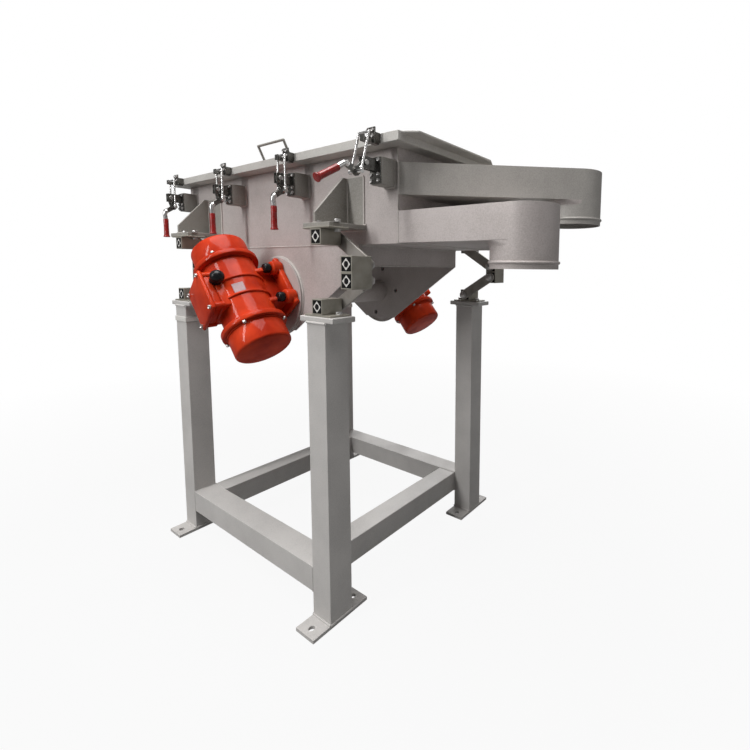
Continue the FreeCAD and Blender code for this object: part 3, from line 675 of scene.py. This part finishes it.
def drum(radius, start, end, rounding):
    # a disc on the motor's axis between two places, with round edges
    low, high = sorted((start, end))
    return soften(cylinder(radius, high - low, 72, ((low + high) / 2, 0, 0), "x"), rounding, 3)


def casting():
    joint, foot, padHalf = motor["joint"], motor["foot"], cast["padHalf"]
    rib, ring, rise, lug, seat = (cast[key] for key in ("rib", "ring", "web", "lug", "seat"))
    under = foot - cast["pad"]
    neckX, neckY, neckZ = cast["neck"]
    pieces = [cylinder(cast["radius"], 2 * joint - cast["gap"], 72, axis="x")]
    pad = block((-padHalf, under, -padHalf), (padHalf, foot, padHalf))
    neck = block((-neckX, neckY, -neckZ), (neckX, foot - cast["sunk"], neckZ))
    pieces += [soften(pad, cast["padRound"], 3), soften(neck, cast["neckRound"], 3)]
    for end in (-1, 1):
        middle = end * rib["at"]
        pieces.append(drum(rib["radius"], middle - rib["half"], middle + rib["half"], rib["round"]))
        ringStart = end * (joint - ring["wide"])
        pieces.append(drum(ring["radius"], ringStart, end * joint, ring["round"]))
        middle = end * rise["at"]
        web = block((middle - rise["half"], rise["from"], -rise["across"]),
                    (middle + rise["half"], foot - cast["sunk"], rise["across"]))
        for vertex in web.data.vertices:
            if vertex.co.y > rise["flareFrom"]:
                vertex.co.z *= rise["flare"]
        pieces.append(soften(web, rise["round"], 3))
        for across in (-1, 1):
            x, z = end * motor["bolt"][0], across * motor["bolt"][1]
            stub = cylinder(lug["radius"], lug["tall"], 36, (x, under, z), "y")
            spot = cylinder(seat["radius"], seat["thick"], 32, (x, foot - seat["fall"], z), "y")
            pieces += [soften(stub, lug["round"], 3), soften(spot, seat["round"], 1)]
    return pieces


capStack = ((0.065, motor["joint"], motor["half"], 0.0065),
            (0.0672, motor["joint"], motor["joint"] + 0.004, 0.0014),
            (0.039, motor["half"] - 0.004, motor["half"] - 0.0001, 0.001))

def capDrums():
    # deep drawn caps: a round shoulder, a bead where they meet the ring and a raised middle
    return [drum(radius, end * near, end * far, rounding)
            for end in (-1, 1) for radius, near, far, rounding in capStack]


box = {"turn": math.radians(6), "halfLong": 0.054, "halfWide": 0.048, "shift": -0.004,
       "slabs": ((0.066, 0.030, 0.006), (0.083, 0.066, 0.006), (0.092, 0.0834, 0)), "reach": 0.092,
       "boss": {"radius": 0.0085, "tall": 0.022, "inset": 0.011, "at": 0.0832, "round": 0.001},
       "round": 0.004, "screwInset": 0.009, "entry": (-0.027, -0.060, 0.040)}

def boxTurn():
    return Matrix.Rotation(box["turn"], 4, "X")


def boxCorners(inset):
    return [(box["shift"] + x * (box["halfLong"] - inset), z * (box["halfWide"] - inset))
            for x, z in pairs]


def boxSlab(outer, inner, inset):
    long, wide = box["halfLong"] - inset, box["halfWide"] - inset
    return block((box["shift"] - long, -outer, -wide), (box["shift"] + long, -inner, wide))


def terminalBox():
    # saddle, case and cover, each from its outer to its inner level, and the corner bosses
    boss = box["boss"]
    made = [soften(boxSlab(*slab), box["round"], 3) for slab in box["slabs"]]
    corner = soften(puck(boss["radius"], boss["tall"], 24), boss["round"], 1)
    places = [((x, -boss["at"], z), (0, 1, 0)) for x, z in boxCorners(boss["inset"])]
    made.append(strew(corner, places))
    for piece in made:
        piece.data.transform(boxTurn())
    return made


entry = {"collar": (0.0135, 0.010), "round": 0.0015, "dome": 0.0158, "domeAt": 0.0185}

def gland():
    # a cable entry with its collar and domed plug on the terminal box's side
    dome = ball(entry["dome"], (0, 0, entry["domeAt"]), 36, 20)
    collar = soften(puck(*entry["collar"], 36), entry["round"])
    return join([paintWith(collar, "black"), paintWith(dome, "black")])


trim = {"ringScrews": 0.0703, "cap": (0.0125, 0.018), "capRound": 0.005, "capFall": 0.029,
        "plate": {"turn": math.radians(-62), "middle": 0.008, "half": 0.0128, "proud": 0.0012,
                  "sunk": 0.004, "round": 0.0006}}

def blankPlate():
    plate = trim["plate"]
    middle, half = plate["middle"], plate["half"]
    label = block((middle - half, -cast["radius"] - plate["proud"], -half),
                  (middle + half, plate["sunk"] - cast["radius"], half))
    label.data.transform(Matrix.Rotation(plate["turn"], 4, "X"))
    return paintWith(soften(label, plate["round"], 1), "plate")


def motorTrim(side, name):
    screw = makeScrew(1.0)
    capScrews = []
    for end in (-1, 1):
        for quarter in range(4):
            angle = math.radians(45 + 90 * quarter)
            across, up = (trim["ringScrews"] * part for part in (math.cos(angle), math.sin(angle)))
            capScrews.append(((end * motor["joint"], across, up), (end, 0, 0)))
    placeMotor([scatter(screw, capScrews)], side, name + "CapScrews", "bolt")
    outward = boxTurn() @ Vector((0, -1, 0))
    coverScrews = [(boxTurn() @ Vector((x, -box["reach"], z)), outward)
                   for x, z in boxCorners(box["screwInset"])]
    placeMotor([strew(screw, coverScrews)], side, name + "CoverScrews", "bolt")
    boltCap = soften(puck(*trim["cap"], 28), trim["capRound"], 3)
    (boltX, boltZ), boltY = motor["bolt"], motor["foot"] - trim["capFall"]
    holders = [((x * boltX, boltY, z * boltZ), (0, -1, 0)) for x, z in pairs]
    placeMotor([paintWith(strew(boltCap, holders), "black")], side, name + "BoltCaps", "black")
    way = (boxTurn() @ Vector(box["entry"]), boxTurn() @ Vector((0, 0, 1)))
    placeMotor([strew(gland(), [way])], side, name + "Gland", "black")
    placeMotor([blankPlate()], side, name + "BlankPlate", "plate")


def bothMotors(maker, name, node):
    # one piece for both sides that takes the place of the plain CAD node
    halves = [inPlace(maker(), side) for side in (-1, 1)]
    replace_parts(show(join(halves), name, "motor", "frame"), node)


for side, name, node in ((-1, "nearMotor", "motor_near"), (1, "farMotor", "motor_far")):
    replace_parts(placeMotor(casting(), side, name + "Casting", "motor"), node)
    motorTrim(side, name)
bothMotors(capDrums, "motorCapDrums", "motor_caps")
bothMotors(terminalBox, "terminalBoxPair", "terminal_boxes")
print("motors dressed")


# Latches: built round the pivot with outboard at -Y, then turned and placed. Pairs are y and z

latch = {"pivot": (0.258, 0.9937), "open": 60, "lean": 0.25, "pin": (0.008, -0.0277),
         "elbow": (-0.016, -0.044), "knee": (-0.014, -0.062)}
lever = {"boss": 0.008, "bossThick": 0.006, "bladeHalf": 0.0029, "blades": (0.0158, 0.0125),
         "round": 0.0007, "neck": 0.0060, "sleeveSunk": 0.002, "sleeveCap": 0.001,
         "sleeve": ((0.0056, 0), (0.0064, -0.001), (0.0069, -0.004), (0.0066, -0.026),
                    (0.0070, -0.048), (0.0076, -0.0515), (0.0088, -0.0534), (0.0088, -0.0552),
                    (0.0076, -0.056)),
         "bends": (("elbow", (0.006, 0.004), (0.012, 0.008), (-0.001, -0.002)),
                   ("knee", (0, -0.004), (-0.001, 0.010), (0, -0.02)))}

def leverPlate():
    # the flat blade from the pivot over the bow pin, with round bosses
    pieces = [cylinder(lever["boss"], lever["bossThick"], 28, (0, y, z), "x")
              for y, z in ((0, 0), latch["pin"])]
    path = ((0, 0), latch["pin"], latch["elbow"])
    for start, end, width in zip(path, path[1:], lever["blades"]):
        a, b = Vector((0, *start)), Vector((0, *end))
        run = b - a
        half = Vector((lever["bladeHalf"], width / 2, run.length / 2))
        blade = block(-half, half)
        spin = Matrix.Rotation(-math.atan2(run.y, run.z), 4, "X")
        blade.matrix_world = Matrix.Translation((a + b) / 2) @ spin
        pieces.append(settle(blade))
    return [paintWith(soften(piece, lever["round"], 1), "darkChrome") for piece in pieces]


def leverNeck():
    # a bent rod from the blade into the grip: a bend is its point and handles off elbow or knee
    clearSelection()
    bpy.ops.curve.primitive_bezier_curve_add()
    path = bpy.context.object
    points = path.data.splines[0].bezier_points
    for point, (corner, place, left, right) in zip(points, lever["bends"]):
        y, z = latch[corner]
        point.co = (0, y + place[0], z + place[1])
        point.handle_left = (0, y + left[0], z + left[1])
        point.handle_right = (0, y + right[0], z + right[1])
    path.data.bevel_depth = lever["neck"]
    path.data.bevel_resolution = 4
    path.data.use_fill_caps = True
    choose([path])
    bpy.ops.object.convert(target="MESH")
    return paintWith(bpy.context.object, "chrome")


def gripSleeve():
    # a short disc whose lower face is drawn out along the profile
    y, z = latch["knee"]
    top, cap = z - lever["sleeveSunk"], lever["sleeveCap"]
    lastRadius, lastDepth = lever["sleeve"][0][0], -cap
    sleeve = cylinder(lastRadius, cap, 32, (0, y, top - cap / 2))
    bpy.ops.object.mode_set(mode="EDIT")
    bpy.ops.mesh.select_all(action="DESELECT")
    mesh = bmesh.from_edit_mesh(sleeve.data)
    for face in mesh.faces:
        face.select = face.normal.z < -capNormal
    bmesh.update_edit_mesh(sleeve.data)
    for radius, depth in lever["sleeve"][1:]:
        move = {"value": (0, 0, depth - lastDepth)}
        bpy.ops.mesh.extrude_region_move(TRANSFORM_OT_translate=move)
        scale = radius / lastRadius
        bpy.ops.transform.resize(value=(scale, scale, 1), center_override=(0, y, top + depth))
        lastRadius, lastDepth = radius, depth
    bpy.ops.object.mode_set(mode="OBJECT")
    return paintWith(sleeve, "grip")


bow = {"half": 0.014, "tall": 0.081, "rod": 0.0025, "nut": (0.0046, 0.004), "nutAt": 0.0062,
       "pin": 0.0037, "pinPast": 0.004, "head": (0.0047, 0.002), "headPast": 0.003, "round": 0.0005}

def bowModel():
    # two threaded legs, a round crossbar at the top and a pin at the bottom with nuts
    half, tall = bow["half"], bow["tall"]
    pieces = []
    for way in (-1, 1):
        pieces.append(cylinder(bow["rod"], tall, 20, (way * half, 0, tall / 2)))
        pieces.append(ball(bow["rod"], (way * half, 0, tall), 20, 12))
        nut = cylinder(*bow["nut"], 6, (way * half, 0, bow["nutAt"]))
        head = cylinder(*bow["head"], 24, (way * (half + bow["headPast"]), 0, 0), "x")
        pieces += [soften(piece, bow["round"], 1) for piece in (nut, head)]
    pieces.append(cylinder(bow["rod"], 2 * half, 20, (0, 0, tall), "x"))
    pieces.append(cylinder(bow["pin"], 2 * half + bow["pinPast"], 24, (0, 0, 0), "x"))
    return join([paintWith(piece, "chrome") for piece in pieces])


def standing(model, x, place, angle, side):
    twin = model.copy()
    twin.data = model.data.copy()
    bpy.context.collection.objects.link(twin)
    twin.data.transform(Matrix.Rotation(math.radians(-angle), 4, "X"))
    if side > 0:
        mirrorAcross(twin)
    twin.data.transform(Matrix.Translation((x, side * place[0], place[1])))
    return twin


def bowPin(angle):
    # where the lever's turn brings the pin, with y outboard
    cosine, sine = math.cos(math.radians(angle)), math.sin(math.radians(angle))
    (pivotY, pivotZ), (pinY, pinZ) = latch["pivot"], latch["pin"]
    return pivotY - pinY * cosine - pinZ * sine, pivotZ + pinZ * cosine - pinY * sine


def latches():
    models = {"Lever": join(leverPlate() + [leverNeck(), gripSleeve()]), "Bow": bowModel()}
    far = {"Lever": [], "Bow": []}
    for side in (-1, 1):
        for number, x in enumerate(latchPlaces, 1):
            angle = latch["open"] if side < 0 and number == 1 else 0
            parts = {"Lever": (latch["pivot"], angle),
                     "Bow": (bowPin(angle), angle * latch["lean"])}
            for kind, (place, turn) in parts.items():
                twin = standing(models[kind], x, place, turn, side)
                if side > 0:
                    far[kind].append(twin)
                    continue
                body = f"{kind.lower()}_{number}"
                show(twin, f"latch{kind}{number}", "chrome", body)
                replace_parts(twin, f"latch_{body}")
    for kind, twins in far.items():
        piece = show(join(twins), f"farLatch{kind}s", "chrome", "frame")
        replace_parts(piece, f"far_latch_{kind.lower()}s")
        drop(models[kind])


latchScrew = {"size": 0.75, "aside": 0.010, "face": 0.228, "levels": (0.9645, 0.9765, 1.0045),
              "catchAside": 0.0062, "catchFace": 0.239, "catchLevels": (1.049, 1.060),
              "pin": (0.0052, 0.002), "pinAside": 0.008, "pinRound": 0.0006}

def latchScrews():
    screw = makeScrew(latchScrew["size"])
    pinHead = soften(puck(*latchScrew["pin"], 24), latchScrew["pinRound"], 1)
    y, z = latch["pivot"]
    screws, pins, catchScrews = [], [], []
    for side in (-1, 1):
        for x in latchPlaces:
            for way in (-1, 1):
                aside, catchAside = (x + way * latchScrew[key] for key in ("aside", "catchAside"))
                screws += [((aside, side * latchScrew["face"], level), (0, side, 0))
                           for level in latchScrew["levels"]]
                catchScrews += [((catchAside, side * latchScrew["catchFace"], level), (0, side, 0))
                                for level in latchScrew["catchLevels"]]
                pins.append(((x + way * latchScrew["pinAside"], side * y, z), (way, 0, 0)))
    show(scatter(screw, screws), "latchScrews", "bolt", "frame")
    show(strew(screw, catchScrews), "catchScrews", "bolt", "frame")
    show(strew(paintWith(pinHead, "bolt"), pins), "latchPinHeads", "bolt", "frame")


latches()
latchScrews()
print("latches made")


# Spouts: the cove where each neck leaves its duct

cove = {"x": 0.692, "y": 0.120, "floors": ((-1, 0.842), (1, 0.942)), "radius": 0.065,
        "rise": 0.016, "sunk": 0.0008, "lift": 0.0004, "steps": 6, "around": 52, "merge": 0.00001,
        "from": math.radians(50), "sweep": math.radians(220), "walls": ((0, -1), (0.643, 0.766))}

def coveProfile():
    inner, lift, rise = cove["radius"] - cove["sunk"], cove["lift"], cove["rise"]
    profile = []
    for step in range(cove["steps"] + 1):
        angle = math.radians(90 * step / cove["steps"])
        profile.append((inner + rise * (1 - math.cos(angle)), lift - rise * (1 - math.sin(angle))))
    return profile + [(inner, lift)]


def neckCove(side, floor):
    profile = coveProfile()
    clearSelection()
    bpy.ops.mesh.primitive_circle_add(vertices=len(profile), radius=0.001)
    ring = bpy.context.object
    for vertex, (away, height) in zip(ring.data.vertices, profile):
        vertex.co = (away, 0, height)
    bpy.ops.object.mode_set(mode="EDIT")
    bpy.ops.mesh.select_all(action="SELECT")
    bpy.ops.mesh.edge_face_add()
    bpy.ops.mesh.spin(steps=cove["around"], angle=-cove["sweep"], center=(0, 0, 0), axis=(0, 0, 1))
    bpy.ops.mesh.select_all(action="SELECT")
    bpy.ops.mesh.remove_doubles(threshold=cove["merge"])
    bpy.ops.mesh.normals_make_consistent(inside=False)
    bpy.ops.object.mode_set(mode="OBJECT")
    # the swept part's middle is turned to where it belongs, whichever way the spin went
    middle = sum((vertex.co for vertex in ring.data.vertices), Vector())
    turn = cove["from"] + cove["sweep"] / 2 - math.atan2(middle.y, middle.x)
    ring.data.transform(Matrix.Rotation(turn, 4, "Z"))
    for vertex in ring.data.vertices:
        # kept inside the duct's straight wall and its slanted wall
        for wallX, wallY in cove["walls"]:
            out = vertex.co.x * wallX + vertex.co.y * wallY
            if out > cove["radius"]:
                vertex.co.x *= cove["radius"] / out
                vertex.co.y *= cove["radius"] / out
    if side > 0:
        mirrorAcross(ring)
    ring.data.transform(Matrix.Translation((cove["x"], side * cove["y"], floor)))
    return paintWith(ring, "box")


coves = [neckCove(side, floor) for side, floor in cove["floors"]]
show(join(coves), "neckCoves", "box", "frame")
print("spouts dressed")


# Camera, floor and light

view = {"place": (1.0616, -0.8579, 0.7926), "yaw": 34.115, "pitch": -5.471, "roll": 0.68,
        "focalPixels": 429.1, "frame": 750, "principal": (466.2, 308.2), "sensor": 36}

def camera():
    yaw, pitch, roll = (math.radians(view[key]) for key in ("yaw", "pitch", "roll"))
    level = math.cos(pitch)
    back = Vector((math.sin(yaw) * level, -math.cos(yaw) * level, -math.sin(pitch)))
    right = Vector((math.cos(yaw), math.sin(yaw), 0))
    up = back.cross(right)
    tilted = right * math.cos(roll) + up * math.sin(roll)
    upright = up * math.cos(roll) - right * math.sin(roll)
    eye = bpy.data.objects.new("eye", bpy.data.cameras.new("eye"))
    bpy.context.collection.objects.link(eye)
    turn = Matrix((tilted, upright, back)).transposed().to_4x4()
    eye.matrix_world = Matrix.Translation(view["place"]) @ turn
    eye.data.sensor_width = view["sensor"]
    eye.data.lens = view["sensor"] * view["focalPixels"] / view["frame"]
    eye.data.shift_x = (view["frame"] / 2 - view["principal"][0]) / view["frame"]
    eye.data.shift_y = (view["principal"][1] - view["frame"] / 2) / view["frame"]
    bpy.context.scene.camera = eye


lamps = {
    "key": {"place": (-0.6, -3.4, 2.4), "size": (0.4, 2.4), "power": 86},
    "top": {"place": (0.2, -0.5, 3.4), "size": (2.2, 2.2), "power": 130},
    "fill": {"place": (3.4, 0.8, 1.2), "size": (2.0, 2.0), "power": 11},
    "rear": {"place": (-1.8, 3.0, 2.2), "size": (2.4, 2.4), "power": 60},
}
white = tone(1, 1, 1)
studio = {"aim": (0, 0, 0.7), "ambient": 0.055, "ambientTone": tone(1, 0.99, 0.98),
          "mirrored": 0.22, "floor": tone(0.24, 0.24, 0.24), "floorSize": 60, "shadow": 0.07,
          "fade": (2.6, 0.9)}

def plainlySeen(paint):
    # 1 for the camera and through clear parts, dimmed in what the metal mirrors
    camera, mirror, through = (paint.node("ShaderNodeLightPath", {}, {}, ray) for ray in (
        "Is Camera Ray", "Is Glossy Ray", "Is Transmission Ray"))
    return camera + mirror * studio["mirrored"] + through


def floorSheet():
    # white to the eye, with a faint shadow near the feet
    clearSelection()
    bpy.ops.mesh.primitive_plane_add(size=studio["floorSize"], location=(0, 0, 0))
    sheet = bpy.context.object
    sheet.name = "floorSheet"
    paint = Paint(bpy.data.materials.new("floorWhite"))
    plain = paint.node("ShaderNodeBsdfDiffuse", {}, {"Color": studio["floor"]})
    reach = paint.node("ShaderNodeVectorMath", {"operation": "LENGTH"}, {0: paint.place}, "Value")
    near = paint.band(reach, *studio["fade"])
    glow = paint.node("ShaderNodeEmission", {}, {"Color": white, "Strength": 1.0})
    amount = plainlySeen(paint) * (1 - near * studio["shadow"])
    mixed = paint.node("ShaderNodeMixShader", {}, {0: amount, 1: plain, 2: glow})
    sheet.data.materials.append(paint.close(mixed))


def addLamps():
    for name, lamp in lamps.items():
        light = bpy.data.lights.new(name, "AREA")
        light.shape = "RECTANGLE"
        light.size, light.size_y = lamp["size"]
        light.energy = lamp["power"]
        holder = bpy.data.objects.new(name, light)
        bpy.context.collection.objects.link(holder)
        away = Vector(lamp["place"]) - Vector(studio["aim"])
        holder.matrix_world = Matrix.Translation(lamp["place"]) @ turnTo(away)


def surroundings():
    # a white background to the eye over a weak ambient light
    world = bpy.data.worlds.new("studio")
    bpy.context.scene.world = world
    paint = Paint(world, "ShaderNodeOutputWorld")
    seen = paint.node("ShaderNodeBackground", {}, {"Color": white, "Strength": 1.0})
    ambient = paint.node("ShaderNodeBackground", {}, {"Color": studio["ambientTone"],
                                                      "Strength": studio["ambient"]})
    paint.close(paint.node("ShaderNodeMixShader", {}, {0: plainlySeen(paint), 1: ambient, 2: seen}))


camera()
floorSheet()
addLamps()
surroundings()
bpy.context.scene.view_settings.view_transform = "Standard"
print("camera, floor and light set")
